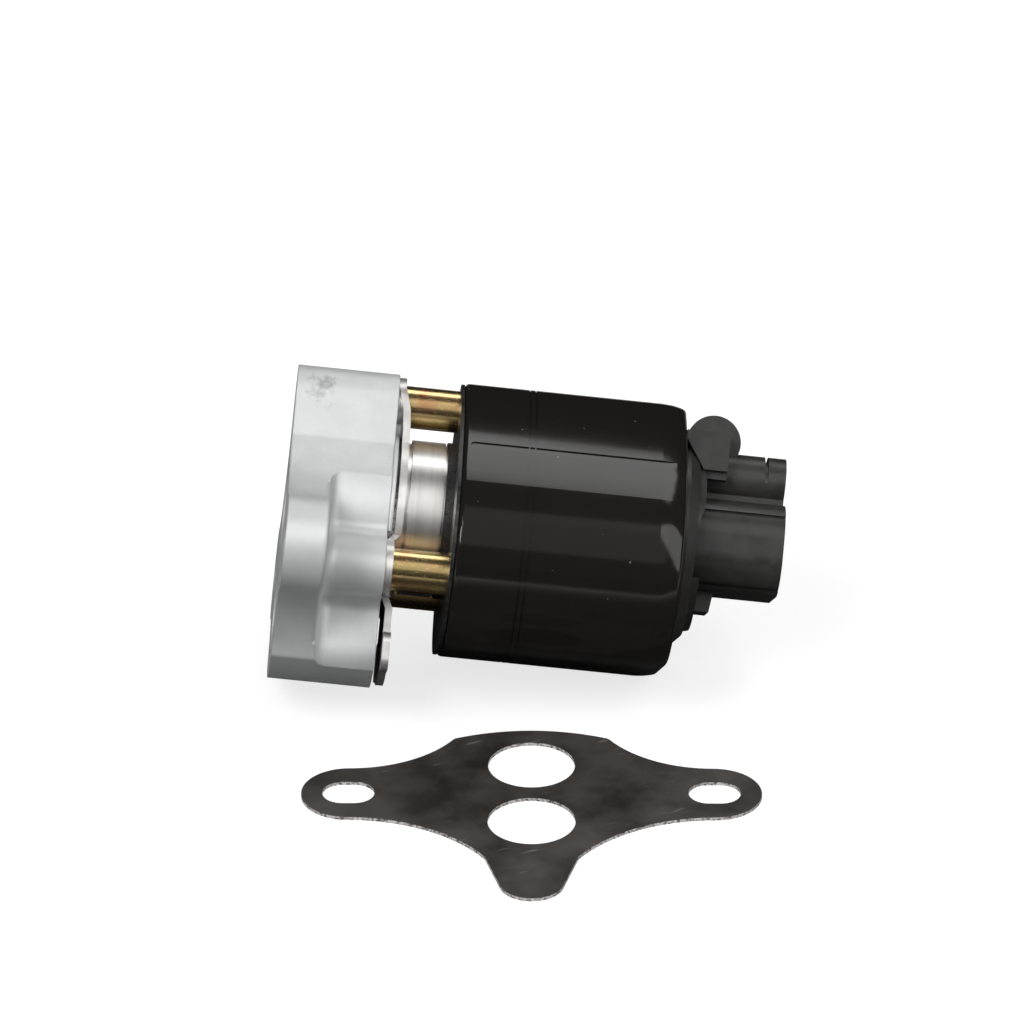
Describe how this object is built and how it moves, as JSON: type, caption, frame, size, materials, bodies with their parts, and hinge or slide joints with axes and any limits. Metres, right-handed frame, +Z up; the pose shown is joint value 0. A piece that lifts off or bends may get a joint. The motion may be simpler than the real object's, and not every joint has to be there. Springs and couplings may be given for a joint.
{
  "type": "egr valve",
  "caption": "Linear exhaust gas recirculation valve: cast two-port base, solenoid can on spacers, connector cap, with its loose flange gasket.",
  "frame": {"origin": "the centre of the exhaust port in the mounting face, where the stem axis leaves the valve", "axes": "the valve lies on a bench as it comes to rest: +Z up, +X along the bench towards the connector, +Y away from the loose gasket"},
  "size_m": [0.1231, 0.1405, 0.0745],
  "materials": {
    "cast_aluminium": "shot blasted casting",
    "stainless": "bright rolled",
    "gold_zinc": "yellow chromated zinc plate",
    "screw_steel": "phosphated",
    "turned_steel": "turned",
    "dark_steel": "dark electro coat",
    "zinc_steel": "zinc plate",
    "can_enamel": "gloss black enamel",
    "black_nylon": "moulded, fine texture",
    "inner_nylon": "moulded",
    "bronze": "sintered",
    "copper": "enamelled wire",
    "tinned": "tin plate",
    "spring_steel": "drawn wire",
    "graphite": "expanded graphite sheet",
    "seal_rubber": "moulded"
  },
  "bodies": {
    "housing": {"armature_sleeve": "stainless", "base_casting": "cast_aluminium", "base_seal": "graphite", "bobbin": "inner_nylon", "cap_seal": "seal_rubber", "coil_winding": "copper", "flux_plate": "dark_steel", "guide_tube": "stainless", "heat_shield": "stainless", "lower_pole": "dark_steel", "pole_plate": "zinc_steel", "return_spring": "spring_steel", "screw_far": "screw_steel", "screw_lobe": "screw_steel", "screw_near": "screw_steel", "sensor_board": "inner_nylon", "sensor_cap": "black_nylon", "sensor_spring": "spring_steel", "solenoid_can": "can_enamel", "spacer_far": "gold_zinc", "spacer_lobe": "gold_zinc", "spacer_near": "gold_zinc", "stem_bushing": "bronze", "stem_guide": "turned_steel", "stem_shield": "stainless", "terminals": "tinned", "upper_pole": "turned_steel", "valve_seat": "turned_steel"},
    "valve_stem": {"pintle": "turned_steel", "armature": "turned_steel", "sensor_plunger": "inner_nylon", "sensor_wiper": "bronze"},
    "gasket": {"mounting_gasket": "graphite"}
  },
  "joints": [
    {"name": "stem_lift", "type": "slide", "parent": "housing", "child": "valve_stem", "axis": [0.9935, 0, -0.1134], "range_m": [0, 0.0045], "stiffness_N_per_m": 3000, "springref_m": -0.004, "deforming": ["return_spring", "sensor_spring"]},
    {"name": "gasket_lift", "type": "slide", "parent": "housing", "child": "gasket", "axis": [0, -0.8, 0.6], "range_m": [0, 0.06]}
  ]
}
